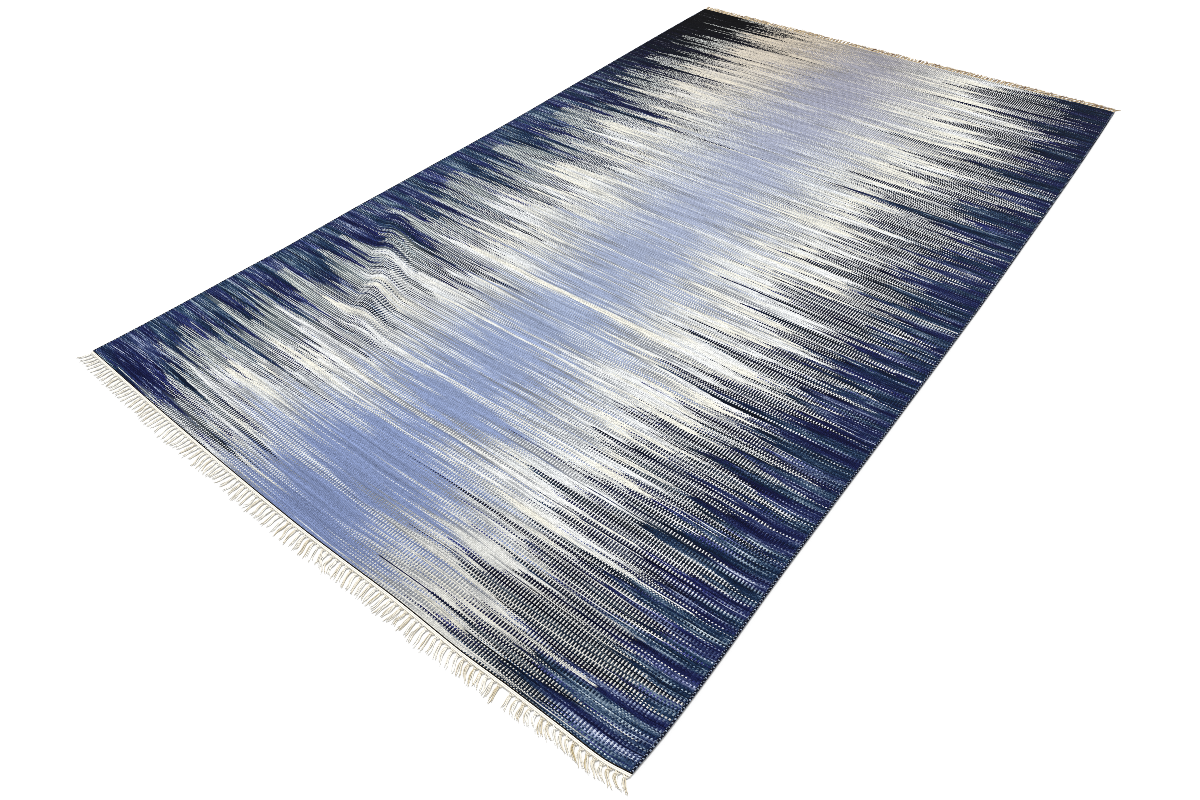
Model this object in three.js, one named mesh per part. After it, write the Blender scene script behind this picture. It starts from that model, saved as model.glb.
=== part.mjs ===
// A flat-woven dhurrie rug lying on the floor, with a knotted cotton fringe at both ends.
// Millimetres. X runs across the rug, Y along it, Z up from the floor.
// The origin is the middle of the rug's box, on the floor.
import * as THREE from 'three';

// Driving sizes of the woven field
const FIELD_WIDTH = 1520;
const FIELD_LENGTH = 2540;
const CLOTH_THICKNESS = 4;

// Driving sizes of the fringe. The heading is the strip of bare cotton warps at each end,
// and a lock is one knotted tassel of four warps.
const SEAT_GAP = 0.3;
const HEADING_WIDTH = 6;
const HEADING_THICKNESS = 3;
const LOCKS_PER_END = 122;
const LOCK_ROOT_WIDTH = 6;
const LOCK_BELLY_WIDTH = 7;
const LOCK_TIP_WIDTH = 4.4;
const LOCK_TIP_THICKNESS = 1.8;
const LOCK_SWAY = 0.9;
const LOCK_UNEVENNESS = 2.5;
const LOST_LOCK_ACROSS = 0.852;

// The long sides bow a little. along runs from the near end to the far end,
// and the offsets are in X.
const SIDE_DRIFT = [
  { along: 0.0, left: -13, right: 1 },
  { along: 0.03, left: -8, right: 6 },
  { along: 0.08, left: -3, right: 8 },
  { along: 0.15, left: 0, right: 7 },
  { along: 0.21, left: 5, right: 8 },
  { along: 0.28, left: 3, right: 10 },
  { along: 0.4, left: 7, right: 13 },
  { along: 0.55, left: 10, right: 16 },
  { along: 0.68, left: 4, right: 14.5 },
  { along: 0.8, left: -1, right: 12 },
  { along: 0.92, left: -5, right: 7 },
  { along: 1.0, left: -5, right: 2 },
];

// The ends bow too. across runs from the left side to the right side,
// and the offsets are in Y.
const END_DRIFT = [
  { across: 0.0, near: -1, far: 1 },
  { across: 0.15, near: -9, far: -1 },
  { across: 0.32, near: -15.5, far: -2.5 },
  { across: 0.5, near: -19, far: -3.5 },
  { across: 0.58, near: -17, far: -3 },
  { across: 0.68, near: -13, far: -3.5 },
  { across: 0.78, near: -14, far: -2 },
  { across: 0.85, near: -10.5, far: -1 },
  { across: 0.92, near: -8.5, far: 0 },
  { across: 0.97, near: -7, far: 0 },
  { across: 1.0, near: 1, far: -1 },
];
const END_DRIFT_FADE = 3;

// The one buckle in the cloth: a low diagonal ridge near the left side.
// Its crest is given from the near left corner, with its height and its reach to each side.
const RIDGE = [
  { x: 95, y: 850, height: 0, reach: 58 },
  { x: 165, y: 768, height: 14, reach: 60 },
  { x: 221, y: 709, height: 21, reach: 62 },
  { x: 270, y: 652, height: 26, reach: 64 },
  { x: 325, y: 596, height: 30, reach: 66 },
  { x: 358, y: 542, height: 29, reach: 66 },
  { x: 380, y: 496, height: 23, reach: 64 },
  { x: 411, y: 459, height: 17, reach: 60 },
  { x: 452, y: 418, height: 12, reach: 58 },
  { x: 525, y: 360, height: 0, reach: 56 },
];
const RIDGE_SAMPLES = 90;

// How the tassels lie: the sideways reach of their tips and their length, for each end.
const LOCK_LAY = [
  { across: 0.0, nearReach: -12, nearLength: 24, farReach: -3, farLength: 24 },
  { across: 0.04, nearReach: -6, nearLength: 30, farReach: 4, farLength: 27 },
  { across: 0.08, nearReach: 2, nearLength: 30, farReach: -2, farLength: 24 },
  { across: 0.12, nearReach: -5, nearLength: 31, farReach: 5, farLength: 28 },
  { across: 0.16, nearReach: 4, nearLength: 32, farReach: 6, farLength: 26 },
  { across: 0.21, nearReach: -1, nearLength: 33, farReach: -1, farLength: 24 },
  { across: 0.25, nearReach: 4, nearLength: 34, farReach: 3, farLength: 28 },
  { across: 0.29, nearReach: -5, nearLength: 31, farReach: 7, farLength: 30 },
  { across: 0.33, nearReach: 7, nearLength: 33, farReach: 2, farLength: 27 },
  { across: 0.37, nearReach: -5, nearLength: 31, farReach: -3, farLength: 25 },
  { across: 0.41, nearReach: 6, nearLength: 32, farReach: 4, farLength: 28 },
  { across: 0.46, nearReach: 0, nearLength: 33, farReach: 8, farLength: 26 },
  { across: 0.51, nearReach: 5, nearLength: 32, farReach: 3, farLength: 28 },
  { across: 0.57, nearReach: 12, nearLength: 30, farReach: -2, farLength: 25 },
  { across: 0.62, nearReach: 8, nearLength: 32, farReach: 5, farLength: 27 },
  { across: 0.67, nearReach: -2, nearLength: 32, farReach: 7, farLength: 25 },
  { across: 0.72, nearReach: 3, nearLength: 33, farReach: 2, farLength: 28 },
  { across: 0.79, nearReach: 11, nearLength: 27, farReach: 6, farLength: 27 },
  { across: 0.85, nearReach: 4, nearLength: 27, farReach: 9, farLength: 25 },
  { across: 0.89, nearReach: 14, nearLength: 22, farReach: 5, farLength: 24 },
  { across: 0.95, nearReach: 15, nearLength: 21, farReach: 9, farLength: 24 },
  { across: 1.0, nearReach: 12, nearLength: 20, farReach: 12, farLength: 22 },
];

// Grid of the field: fine round the ridge and at the right side's corners, wide elsewhere
const GRID_ACROSS = [
  { to: 0.02, steps: 1 },
  { to: 0.39, steps: 24 },
  { to: 0.97, steps: 9 },
  { to: 1.0, steps: 3 },
];
const GRID_ALONG = [
  { to: 0.03, steps: 2 },
  { to: 0.11, steps: 2 },
  { to: 0.36, steps: 27 },
  { to: 1.0, steps: 13 },
];

// Where a lock's section is set along its length
const LOCK_STEPS = [0.35, 0.7, 1];

// A value between the rows of a table, eased through them as a smooth curve
function fromTable(table, key, column, at) {
  const last = table.length - 1;
  const place = Math.min(Math.max(at, table[0][key]), table[last][key]);
  let row = 0;
  while (row < last - 1 && table[row + 1][key] < place) {
    row += 1;
  }
  const slopeAt = (index) => {
    const before = table[Math.max(index - 1, 0)];
    const after = table[Math.min(index + 1, last)];
    return (after[column] - before[column]) / (after[key] - before[key]);
  };
  const span = table[row + 1][key] - table[row][key];
  const part = (place - table[row][key]) / span;
  const square = part * part;
  const cube = square * part;
  return table[row][column] * (2 * cube - 3 * square + 1)
    + slopeAt(row) * span * (cube - 2 * square + part)
    + table[row + 1][column] * (3 * square - 2 * cube)
    + slopeAt(row + 1) * span * (cube - square);
}

// The stations of one side of the grid, from 0 to 1
function stations(bands) {
  const places = [0];
  for (const band of bands) {
    const from = places[places.length - 1];
    for (let step = 1; step <= band.steps; step += 1) {
      places.push(from + (band.to - from) * step / band.steps);
    }
  }
  return places;
}

const ACROSS = stations(GRID_ACROSS);
const ALONG = stations(GRID_ALONG);

// Repeatable chance between -1 and 1
function makeChance(seed) {
  let state = seed;
  return () => {
    state = (state * 16807) % 2147483647;
    return state / 1073741823.5 - 1;
  };
}

// The ridge's crest as a row of close points
function ridgeCrest() {
  const crest = [];
  const rows = RIDGE.map((row, index) => ({ ...row, index }));
  for (let sample = 0; sample <= RIDGE_SAMPLES; sample += 1) {
    const at = (RIDGE.length - 1) * sample / RIDGE_SAMPLES;
    crest.push({
      x: fromTable(rows, 'index', 'x', at),
      y: fromTable(rows, 'index', 'y', at),
      height: Math.max(fromTable(rows, 'index', 'height', at), 0),
      reach: fromTable(rows, 'index', 'reach', at),
    });
  }
  return crest;
}

const CREST = ridgeCrest();

// Height of the cloth's underside at a place measured from the near left corner
function lift(x, y) {
  let height = 0;
  for (const point of CREST) {
    const away = Math.hypot(x - point.x, y - point.y);
    if (away < point.reach) {
      const rise = point.height * Math.cos(Math.PI * away / (2 * point.reach)) ** 2;
      height = Math.max(height, rise);
    }
  }
  return height;
}

// Place of a point of the field, with across and along between 0 and 1
function fieldPlace(across, along) {
  const left = fromTable(SIDE_DRIFT, 'along', 'left', along);
  const right = fromTable(SIDE_DRIFT, 'along', 'right', along);
  const near = fromTable(END_DRIFT, 'across', 'near', across);
  const far = fromTable(END_DRIFT, 'across', 'far', across);
  return {
    x: (across - 0.5) * FIELD_WIDTH + left + (right - left) * across,
    y: (along - 0.5) * FIELD_LENGTH
      + near * (1 - along) ** END_DRIFT_FADE + far * along ** END_DRIFT_FADE,
    lift: lift(across * FIELD_WIDTH, along * FIELD_LENGTH),
  };
}

// A closed solid that is put together from corners and four-sided faces
class Solid {
  constructor() {
    this.corners = [];
    this.faces = [];
  }

  corner(x, y, z) {
    this.corners.push(x, y, z);
    return this.corners.length / 3 - 1;
  }

  quad(a, b, c, d) {
    this.faces.push(a, b, c, a, c, d);
  }

  mesh(name, material, turnedOver) {
    const geometry = new THREE.BufferGeometry();
    const faces = turnedOver ? this.faces.slice().reverse() : this.faces;
    geometry.setAttribute('position', new THREE.Float32BufferAttribute(this.corners, 3));
    geometry.setIndex(faces);
    geometry.computeVertexNormals();
    const mesh = new THREE.Mesh(geometry, material);
    mesh.name = name;
    return mesh;
  }
}

// The woven field: one thin slab that follows the drift of its sides and the ridge
function wovenField(material) {
  const solid = new Solid();
  const layer = (thickness) => ALONG.map((along) => ACROSS.map((across) => {
    const place = fieldPlace(across, along);
    return solid.corner(place.x, place.y, place.lift + thickness);
  }));
  const under = layer(0);
  const top = layer(CLOTH_THICKNESS);
  const lastRow = ALONG.length - 1;
  const lastColumn = ACROSS.length - 1;
  for (let row = 0; row < lastRow; row += 1) {
    for (let column = 0; column < lastColumn; column += 1) {
      const next = column + 1;
      solid.quad(top[row][column], top[row][next], top[row + 1][next], top[row + 1][column]);
      solid.quad(under[row][column], under[row + 1][column], under[row + 1][next], under[row][next]);
    }
  }
  for (let column = 0; column < lastColumn; column += 1) {
    const next = column + 1;
    solid.quad(under[0][column], under[0][next], top[0][next], top[0][column]);
    solid.quad(top[lastRow][column], top[lastRow][next], under[lastRow][next], under[lastRow][column]);
  }
  for (let row = 0; row < lastRow; row += 1) {
    const next = row + 1;
    solid.quad(top[row][0], top[next][0], under[next][0], under[row][0]);
    solid.quad(under[row][lastColumn], under[next][lastColumn], top[next][lastColumn], top[row][lastColumn]);
  }
  return solid.mesh('rug_field', material, false);
}

// Place on the edge of the field at one end. The edge is straight between the grid's columns.
function endPlace(across, along) {
  let column = 0;
  while (column < ACROSS.length - 2 && ACROSS[column + 1] < across) {
    column += 1;
  }
  const from = fieldPlace(ACROSS[column], along);
  const to = fieldPlace(ACROSS[column + 1], along);
  const part = (across - ACROSS[column]) / (ACROSS[column + 1] - ACROSS[column]);
  return { x: from.x + (to.x - from.x) * part, y: from.y + (to.y - from.y) * part };
}

// The tassels of one end: where each is rooted, and how it lies
function lockPlan(end) {
  const chance = makeChance(end.seed);
  const plan = [];
  for (let index = 0; index < LOCKS_PER_END; index += 1) {
    const across = (index + 0.5) / LOCKS_PER_END;
    const sway = chance() * LOCK_SWAY;
    const unevenness = chance() * LOCK_UNEVENNESS;
    const lost = Math.abs(across - end.lostAcross) < 0.5 / LOCKS_PER_END;
    if (!lost) {
      plan.push({
        across,
        reach: fromTable(LOCK_LAY, 'across', end.reachColumn, across) + sway,
        length: fromTable(LOCK_LAY, 'across', end.lengthColumn, across) + unevenness,
      });
    }
  }
  return plan;
}

// One tassel grows from four corners of the heading's outer wall and lies level on the floor.
// root holds the corners as underLeft, topLeft, topRight and underRight.
function addLock(solid, root, middle, lock, outward) {
  let section = root;
  for (const part of LOCK_STEPS) {
    const bend = part * part * (1.5 - 0.5 * part);
    const x = middle.x + lock.reach * bend;
    const y = middle.y + outward * lock.length * part;
    const belly = Math.sin(Math.PI * part);
    const width = LOCK_ROOT_WIDTH + (LOCK_TIP_WIDTH - LOCK_ROOT_WIDTH) * part
      + (LOCK_BELLY_WIDTH - (LOCK_ROOT_WIDTH + LOCK_TIP_WIDTH) / 2) * belly;
    const thickness = HEADING_THICKNESS + (LOCK_TIP_THICKNESS - HEADING_THICKNESS) * part ** 3;
    const slope = lock.reach * (3 * part - 1.5 * part * part) / lock.length;
    const turn = Math.atan(slope);
    const sideX = Math.cos(turn) * width / 2;
    const sideY = -outward * Math.sin(turn) * width / 2;
    const next = [
      solid.corner(x - sideX, y - sideY, 0),
      solid.corner(x - sideX, y - sideY, thickness),
      solid.corner(x + sideX, y + sideY, thickness),
      solid.corner(x + sideX, y + sideY, 0),
    ];
    for (let side = 0; side < 4; side += 1) {
      const other = (side + 1) % 4;
      solid.quad(section[side], section[other], next[other], next[side]);
    }
    section = next;
  }
  solid.quad(section[0], section[1], section[2], section[3]);
}

// The fringe of one end: the heading strip along the cloth's edge with all of its tassels
function fringe(end, material) {
  const solid = new Solid();
  const halfRoot = LOCK_ROOT_WIDTH / 2 / FIELD_WIDTH;
  const plan = lockPlan(end);
  const cuts = [0];
  for (const lock of plan) {
    cuts.push(lock.across - halfRoot, lock.across + halfRoot);
  }
  cuts.push(1);
  const frames = cuts.map((across) => {
    const edge = endPlace(across, end.along);
    const inner = edge.y + end.outward * SEAT_GAP;
    const outer = inner + end.outward * HEADING_WIDTH;
    return {
      x: edge.x,
      outer,
      ring: [
        solid.corner(edge.x, inner, 0),
        solid.corner(edge.x, inner, HEADING_THICKNESS),
        solid.corner(edge.x, outer, HEADING_THICKNESS),
        solid.corner(edge.x, outer, 0),
      ],
    };
  });
  for (let index = 0; index < frames.length - 1; index += 1) {
    const here = frames[index];
    const next = frames[index + 1];
    const rooted = index % 2 === 1;
    for (let side = 0; side < 4; side += 1) {
      const other = (side + 1) % 4;
      if (!(rooted && side === 2)) {
        solid.quad(here.ring[side], next.ring[side], next.ring[other], here.ring[other]);
      }
    }
    if (rooted) {
      const root = [here.ring[3], here.ring[2], next.ring[2], next.ring[3]];
      const middle = { x: (here.x + next.x) / 2, y: (here.outer + next.outer) / 2 };
      addLock(solid, root, middle, plan[(index - 1) / 2], end.outward);
    }
  }
  const first = frames[0].ring;
  const last = frames[frames.length - 1].ring;
  solid.quad(first[0], first[1], first[2], first[3]);
  solid.quad(last[3], last[2], last[1], last[0]);
  return solid.mesh(end.name, material, end.turnedOver);
}

const woolWeft = new THREE.MeshStandardMaterial({ color: '#7482a6', roughness: 0.9, metalness: 0 });
const whiteCotton = new THREE.MeshStandardMaterial({ color: '#ece6d6', roughness: 0.85, metalness: 0 });
const goldenCotton = new THREE.MeshStandardMaterial({ color: '#d9c49c', roughness: 0.85, metalness: 0 });

const NEAR_END = {
  name: 'fringe_near',
  along: 0,
  outward: -1,
  reachColumn: 'nearReach',
  lengthColumn: 'nearLength',
  lostAcross: LOST_LOCK_ACROSS,
  seed: 4711,
  turnedOver: true,
};
const FAR_END = {
  name: 'fringe_far',
  along: 1,
  outward: 1,
  reachColumn: 'farReach',
  lengthColumn: 'farLength',
  lostAcross: -1,
  seed: 1913,
  turnedOver: false,
};

const rug = new THREE.Group();
rug.name = 'dhurrie_rug';
rug.add(wovenField(woolWeft));
rug.add(fringe(NEAR_END, whiteCotton));
rug.add(fringe(FAR_END, goldenCotton));

// The rug's box is centred over the origin
const middle = new THREE.Box3().setFromObject(rug).getCenter(new THREE.Vector3());
rug.position.set(-middle.x, -middle.y, 0);

export default rug;
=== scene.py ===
"""Looks of a flat-woven dhurrie rug: ribbed wool in navy, cream and lavender streaks, with a
knotted cotton fringe at both ends. Metres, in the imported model's frame: X across the rug,
Y along it, Z up from the floor."""

import math
from types import SimpleNamespace

import bpy
import numpy as np
from mathutils import Matrix, Vector


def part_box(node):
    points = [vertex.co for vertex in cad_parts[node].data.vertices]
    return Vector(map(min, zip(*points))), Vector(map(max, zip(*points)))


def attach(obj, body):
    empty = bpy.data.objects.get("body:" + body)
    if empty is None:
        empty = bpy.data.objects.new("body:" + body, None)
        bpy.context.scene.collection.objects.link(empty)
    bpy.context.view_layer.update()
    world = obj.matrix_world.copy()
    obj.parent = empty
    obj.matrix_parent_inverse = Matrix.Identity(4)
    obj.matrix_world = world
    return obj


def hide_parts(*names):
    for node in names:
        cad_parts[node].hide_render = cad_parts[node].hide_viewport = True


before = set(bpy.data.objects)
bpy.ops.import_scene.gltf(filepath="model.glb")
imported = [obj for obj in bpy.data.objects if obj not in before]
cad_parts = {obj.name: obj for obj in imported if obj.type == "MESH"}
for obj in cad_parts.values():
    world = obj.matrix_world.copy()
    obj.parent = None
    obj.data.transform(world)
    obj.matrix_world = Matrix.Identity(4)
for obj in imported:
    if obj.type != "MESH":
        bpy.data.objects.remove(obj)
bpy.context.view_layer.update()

MM = 0.001

# The woven field, with the outline and the buckle of the part's source
FIELD_WIDTH = 1520 * MM
FIELD_LENGTH = 2540 * MM
CLOTH_THICKNESS = 4 * MM
RIB_COUNT = 486
RIB_DEPTH = 0.8 * MM
END_DRIFT_FADE = 3

# How far the long sides bow, in millimetres along X
SIDE_DRIFT = {
    "along": [0, 0.03, 0.08, 0.15, 0.21, 0.28, 0.4, 0.55, 0.68, 0.8, 0.92, 1],
    "left": [-13, -8, -3, 0, 5, 3, 7, 10, 4, -1, -5, -5],
    "right": [1, 6, 8, 7, 8, 10, 13, 16, 14.5, 12, 7, 2],
}

# How far the ends bow, in millimetres along Y
END_DRIFT = {
    "across": [0, 0.15, 0.32, 0.5, 0.58, 0.68, 0.78, 0.85, 0.92, 0.97, 1],
    "near": [-1, -9, -15.5, -19, -17, -13, -14, -10.5, -8.5, -7, 1],
    "far": [1, -1, -2.5, -3.5, -3, -3.5, -2, -1, 0, 0, -1],
}

# Crest of the one buckle, in millimetres from the near left corner
RIDGE = {
    "x": [95, 165, 221, 270, 325, 358, 380, 411, 452, 525],
    "y": [850, 768, 709, 652, 596, 542, 496, 459, 418, 360],
    "height": [0, 14, 21, 26, 30, 29, 23, 17, 12, 0],
    "reach": [58, 60, 62, 64, 66, 66, 64, 60, 58, 56],
}
RIDGE_SAMPLES = 181

# The field's grid: a valley and two shoulders for each rib, as (place, depth), and rows that
# are close over the buckle, which they follow, and wide elsewhere
RIB_PROFILE = [(0, 1.0), (0.3, 0.12), (0.7, 0.12)]
NEAR_ROWS = [0, 0.07, 0.17, 0.3, 0.47, 0.7]
RIDGE_BAND = 112 * MM
RIDGE_ROWS = 15
FAR_ROWS = 12

# The field's map of places, which its dye is worked out from. A narrow margin at each side
# is left for the cloth's cut edges.
UV_NAME = "OFBake"
UV_MARGIN = 0.0012
UV_SLACK = 0.001

# The fringe: how the part has the heading strip along the cloth's end, and its tassels
SEAT_GAP = 0.3 * MM
HEADING_WIDTH = 6 * MM
LOCKS_PER_END = 122
LOCK_SWAY_MM = 0.9
LOCK_UNEVENNESS_MM = 2.5
NEAR_LOST_LOCK = 0.852
NEAR_SEED = 4711
FAR_SEED = 1913
CHANCE_STEP = 16807
CHANCE_SIZE = 2147483647

# How the tassels lie, in millimetres: the sideways reach of their tips, their length and
# the room between their cords
NEAR_LAY = {
    "across": [0, 0.04, 0.08, 0.12, 0.16, 0.21, 0.25, 0.29, 0.33, 0.37, 0.41,
               0.46, 0.51, 0.57, 0.62, 0.67, 0.72, 0.79, 0.85, 0.89, 0.95, 1],
    "reach": [-12, -6, 2, -5, 4, -1, 4, -5, 7, -5, 6,
              0, 5, 12, 8, -2, 3, 11, 4, 14, 15, 12],
    "length": [24, 30, 30, 31, 32, 33, 34, 31, 33, 31, 32,
               33, 32, 30, 32, 32, 33, 27, 27, 22, 21, 20],
    "spread": [1.2, 1.2, 1.1, 1.2, 1.3, 1.2, 1.3, 1.4, 1.2, 1.3, 1.4,
               1.3, 1.4, 1.6, 1.8, 2.0, 2.1, 2.4, 2.5, 2.7, 2.8, 2.8],
}
FAR_LAY = {
    "across": NEAR_LAY["across"],
    "reach": [-3, 4, -2, 5, 6, -1, 3, 7, 2, -3, 4,
              8, 3, -2, 5, 7, 2, 6, 9, 5, 9, 12],
    "length": [24, 27, 24, 28, 26, 24, 28, 30, 27, 25, 28,
               26, 28, 25, 27, 25, 28, 27, 25, 24, 24, 22],
    "spread": [2.1, 2.2, 2.1, 2.2, 2.3, 2.1, 2.2, 2.3, 2.1, 2.2, 2.1,
               2.3, 2.2, 2.1, 2.2, 2.3, 2.2, 2.3, 2.3, 2.2, 2.4, 2.5],
}

# The heading: two twined cords, and a warp end for each rib, side by side
TWINE_OFFSETS = (1.65 * MM, 4.35 * MM)
TWINE_HEIGHT = 1.55 * MM
TWINE_RADIUS = 1.42 * MM
TWINE_SIDES = 6
TWINE_POINTS_PER_RIB = 3
TWINE_TONES = (0.05, 0.15)
TWINE_LOBE = 0.16
WARP_HEIGHT = 1.5 * MM
WARP_RADIUS = 0.7 * MM
WARP_SIDES = 4
WARP_INSET = 0.2 * MM
WARP_TONE = 0.15

# A tassel: warps drawn together, a knot of two turns, and loose cords
CORDS_PER_LOCK = 4
DRAWN_RADIUS = 0.78 * MM
DRAWN_START = 1.0 * MM
DRAWN_BEND = 2.2 * MM
DRAWN_RISE = 0.3 * MM
DRAWN_CLOSING = 0.25
KNOT_OUT = 3.4 * MM
KNOT_RISE = 0.5 * MM
KNOT_LEAN = 0.02
KNOT_TILTS = (-0.5, 0.45)
KNOT_POINTS = 9
KNOT_WIDTH = 2.0 * MM
KNOT_HEIGHT = 1.1 * MM
KNOT_JITTER_MM = 0.1
KNOT_RADIUS = 0.8 * MM
KNOT_TURN_OUT = 0.6
KNOT_CORD_PITCH = 0.9 * MM
LOOSE_CORD_PITCH = 1.0 * MM
ROUND_SIDES = 5
CORD_RADIUS = 0.82 * MM
CORD_SIDES = 6
CORD_POINTS = 16
CORD_LOBE = 0.2
CORD_TWIST = 9 * MM
CORD_TAPER = 0.35
CORD_TAPER_POWER = 6
CORD_LIE = 1.1

# How unlike the cords of a tassel are: lowest and highest, or how far they scatter
CORD_LENGTHS = (0.82, 1.06)
CORD_THICKNESS = (0.9, 1.12)
CURL_MM = 1.3
CURL_STARTS = (0, 2)
CURL_PACE = 4.6
FLARE_MM = 0.55
FLARE_EASE = 0.7
WAVE_MM = (0.3, 1.3)
WAVE_PACE = (3.5, 7)
WAVE_STARTS = (0, 6)
HUMP_MM = (0, 1.5)
HUMP_PACE = 1.2
TASSEL_TONE_SCATTER = 0.12
CORD_TONE_SCATTER = 0.22

# Frayed threads at the end of each cord
WISPS_PER_CORD = 2
WISP_MM = (1.8, 3.6)
WISP_LEAN = 0.28
WISP_BEND_MM = 0.25
WISP_FLATNESS = 0.3
WISP_LOWEST = 0.4 * MM
WISP_RADII = np.array([0.42, 0.34, 0.14]) * MM
WISP_SIDES = 3
WISP_TONE = 0.6

# The cottons' palest and darkest colour, and how dark each fringe is at its left and right
# end, from 0 to 1
WHITE_COTTON = ("fffdf6", "cbba8f")
GOLDEN_COTTON = ("f2dfb8", "775338")
NEAR_TONES = (0.0, 0.4)
FAR_TONES = (0.3, 0.6)
FIBRE_SCALE = 900
FIBRE_CONTRAST = 0.3
FIBRE_BASE = 0.84
FIBRE_BUMP = 0.25 * MM

# The camera, from the near left corner of the field
CAMERA_FROM_CORNER = Vector((1.7796, -0.3593, 1.2174))
CAMERA_TURN_DEG = 39.468
CAMERA_DOWN_DEG = 45.326
CAMERA_ROLL_DEG = -1.835
FOCAL_LENGTH_PX = 813.75
IMAGE_WIDTH_PX = 1200
SENSOR_MM = 36

# The studio
FLOOR_REACH = 8
FLOOR_GREY = 0.87
SKY_STRENGTH = 0.55
SUN_PLACE = Vector((-1.6, 1.9, 3.2))
SUN_ENERGY = 2.5
SUN_SIZE_DEG = 25
PIXEL_FILTER = 0.65

# The weave: its picks wander a little. Each run of picks keeps its two shuttles to the same
# ribs, a share of the runs has them the other way round, and a single shuttle makes the
# first pick of each.
PICK_PITCH_MM = 1.9
PICK_BUMP = 0.3 * MM
WANDER_MM = 9.0
WANDER_SCALE = (6.0, 8.0)
RUN_MM = 9
RUN_DRIFT = 0.7
RUN_DRIFT_MM = 23
SWAPPED_SHARE = 0.14
SECOND_ALONE_SHARE = 0.45

# Towards the far end single stitches go astray to the other shuttle, more on the left
ASTRAY_ALONG = (0.4, 1.0)
ASTRAY_ACROSS = (0.65, 0.3)
ASTRAY_SHARE = 0.02
ASTRAY_SHARE_LEFT = 0.28

# Strides that keep the chance of ribs, of shuttles and of layers apart
RIB_STRIDE = 613.0
SHUTTLE_STRIDE = 5000.0
LANE_STRIDE = 500.0
LAYER_STRIDE = 60.0

# Where each use of chance starts, so that no two are alike
SEEDS = {
    "bead": 0.25, "stitch": 0.5, "hair": 29.0, "pale line": 61.0, "dark line": 83.0,
    "run": 300.0, "swap": 400.5, "alone": 450.5, "slip": 1000.0, "spread": 2000.0,
    "left spread": 3000.0, "stray": 5000.0, "left": 6000.0, "right": 7000.0,
    "middle": 8000.0, "haze": 9000.0, "grain": 14000.0,
}
PEAK_EASE = (0.15, 0.85)

# A chance number for each whole number: the fraction of a large sine
SINE_STEP = 12.9898
SINE_SIZE = 43758.5453

# Thin streaks, one pick high
LINE_SCALE = (14.0, 0.83)
LINE_SHUTTLES_APART = 177.0

# Where each colour of dye starts and ends across the rug, in parts of its width. Two
# shuttles take turns, so every second rib shows the other one's yarn. Shuttle 0 keeps its
# navy further in from the sides, and its blue further out from the middle.
NAVY_ENDS = (0.243, 0.108)
NAVY_STARTS = (0.782, 0.91)
NARROWEST_LEFT = 0.05
GREY_STARTS = 0.3
GREY_ENDS = 0.688
BLUE_STARTS = (0.38, 0.42)
BLUE_ENDS = (0.62, 0.575)

# How soft the zones' edges are
NAVY_EDGE = (-0.003, 0.003)
FLANK_EDGE = (-0.01, 0.02)
SOLID_EDGE = (-0.02, 0.02)
BLUE_EDGE = (-0.015, 0.03)
HAZE_EDGE = (-0.03, 0.03)

# How unevenly the yarn lies, in parts of the width, for each spacing of its chance places in
# millimetres: where the two shuttles slip apart, where both sides or the left one spread,
# each shuttle alone, and the same for the blue middle and the haze around it
SLIPS = [(4, 0.022), (8, 0.043), (16, 0.033), (40, 0.014)]
SPREADS = [(4, 0.012), (8, 0.022), (16, 0.018), (35, 0.016)]
LEFT_SPREADS = [(6, 0.022), (12, 0.038), (22, 0.032)]
OWN_SWAYS = [(4, 0.014), (8, 0.018), (16, 0.012)]
MIDDLE_SWAYS = [(5, 0.022), (9, 0.026), (24, 0.025), (58, 0.016)]
HAZE_SWAYS = [(4, 0.024), (9, 0.03), (19, 0.03)]

# How much of that each shuttle and the left side take, how far single picks stray, and how
# the two shuttles' zones on the left draw together towards the far end
SLIP_SHARES = (1.0, -0.65)
LEFT_SLIP = 0.4
LEFT_OWN = 0.6
STRAY_REACH = 0.09
STRAY_POWER = 5.0
FAR_HALF = (0.5, 1.0)
FAR_CLOSING = (-0.045, 0.02)

# How much wider the zones are, along the rug: (along, left navy, right navy, blue)
ZONE_TREND = [
    (0, 0.01, 0.0, 0.04),
    (0.12, 0.01, 0.02, 0.02),
    (0.3, 0, 0.005, 0),
    (0.46, 0, 0.005, 0),
    (0.62, 0.02, 0.01, -0.01),
    (0.79, 0.028, 0.008, 0),
    (1, 0.05, 0.02, 0.01),
]
TREND_MIDDLE = 0.5

# Streaks that stand out: how far along the rug, half their height in millimetres, and how
# much further in they reach than the rest
NAVY_STREAKS = [
    (0.937, 6, 0.16), (0.918, 8, 0.16), (0.79, 10, 0.08), (0.68, 14, 0.08),
    (0.646, 9, 0.16), (0.295, 14, 0.11), (0.205, 8, 0.06), (0.092, 10, 0.12), (0, 22, 0.06),
]
CREAM_STREAKS = [
    (0.645, 5, 0.2), (0.563, 4, 0.18), (0.319, 9, 0.34), (0.246, 4, 0.26), (0.172, 3, 0.22),
    (0.128, 10, 0.13),
]

# Dyes from deep to worn, as (tone, colour code), and the blue from the near to the far end
VIOLET = [(0, "10133a"), (0.3, "1c2356"), (0.55, "364576"), (0.85, "a4b2d2"), (1, "d3daea")]
TEAL = [(0, "0e1b31"), (0.3, "172d4f"), (0.55, "3a5676"), (0.85, "a4bac8"), (1, "d6e0e6")]
CHARCOAL = [(0, "040406"), (0.4, "121218"), (0.75, "84848c"), (1, "dcdce4")]
ROYAL = [(0, "100f38"), (0.5, "2c3084"), (1, "7f8bd2")]
BLUE_ALONG = [
    (0, "7e8db6"), (0.12, "8e9ec6"), (0.3, "a3b0cd"), (0.6, "adb5cc"), (0.85, "a5a7b9"),
    (1, "9c9aa2"),
]

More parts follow.
